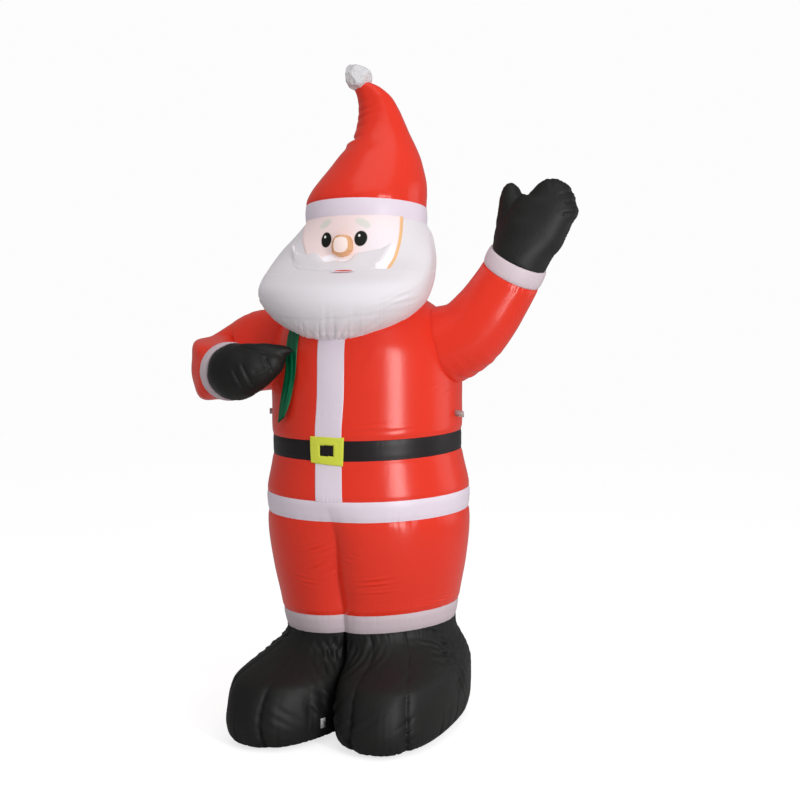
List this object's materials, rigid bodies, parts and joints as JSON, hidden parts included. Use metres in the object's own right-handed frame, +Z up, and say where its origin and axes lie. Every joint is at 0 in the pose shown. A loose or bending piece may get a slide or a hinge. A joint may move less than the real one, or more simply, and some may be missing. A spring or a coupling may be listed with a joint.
{
  "type": "inflatable santa",
  "caption": "Air-filled cloth Santa figure that stands on its boots and waves, with a bent pointed hat, full beard, belted jacket and thick mittens.",
  "frame": {"origin": "on the floor, under the middle of the figure's bounding box", "axes": "+Z up; the figure faces -Y, and its own left hand, the raised one, is at +X"},
  "size_m": [1.467, 0.9434, 2.44],
  "materials": {
    "black_cloth": "satin nylon",
    "buckle_cloth": "satin nylon",
    "face_cloth": "satin nylon, lit softly from inside",
    "green_satin": "satin ribbon",
    "nose_cloth": "satin nylon",
    "red_cloth": "satin nylon, lit softly from inside",
    "webbing": "woven tape",
    "white_cloth": "satin nylon, lit softly from inside"
  },
  "bodies": {
    "root": {"beard": "white_cloth", "belt": "black_cloth", "belt_buckle": "buckle_cloth", "boot_left": "black_cloth", "boot_right": "black_cloth", "face": "face_cloth", "hat": "red_cloth", "hat_band": "white_cloth", "jacket": "red_cloth", "jacket_hem": "white_cloth", "mitten_left": "black_cloth", "mitten_right": "black_cloth", "moustache": "white_cloth", "nose": "nose_cloth", "placket_lower": "white_cloth", "placket_upper": "white_cloth", "pompom": "white_cloth", "sleeve_cuff_left": "white_cloth", "sleeve_cuff_right": "white_cloth", "sleeve_left": "red_cloth", "sleeve_right": "red_cloth", "strap": "green_satin", "tether_front": "webbing", "tether_left": "webbing", "tether_right": "webbing", "trouser_cuffs": "white_cloth", "trousers": "red_cloth"}
  },
  "joints": []
}
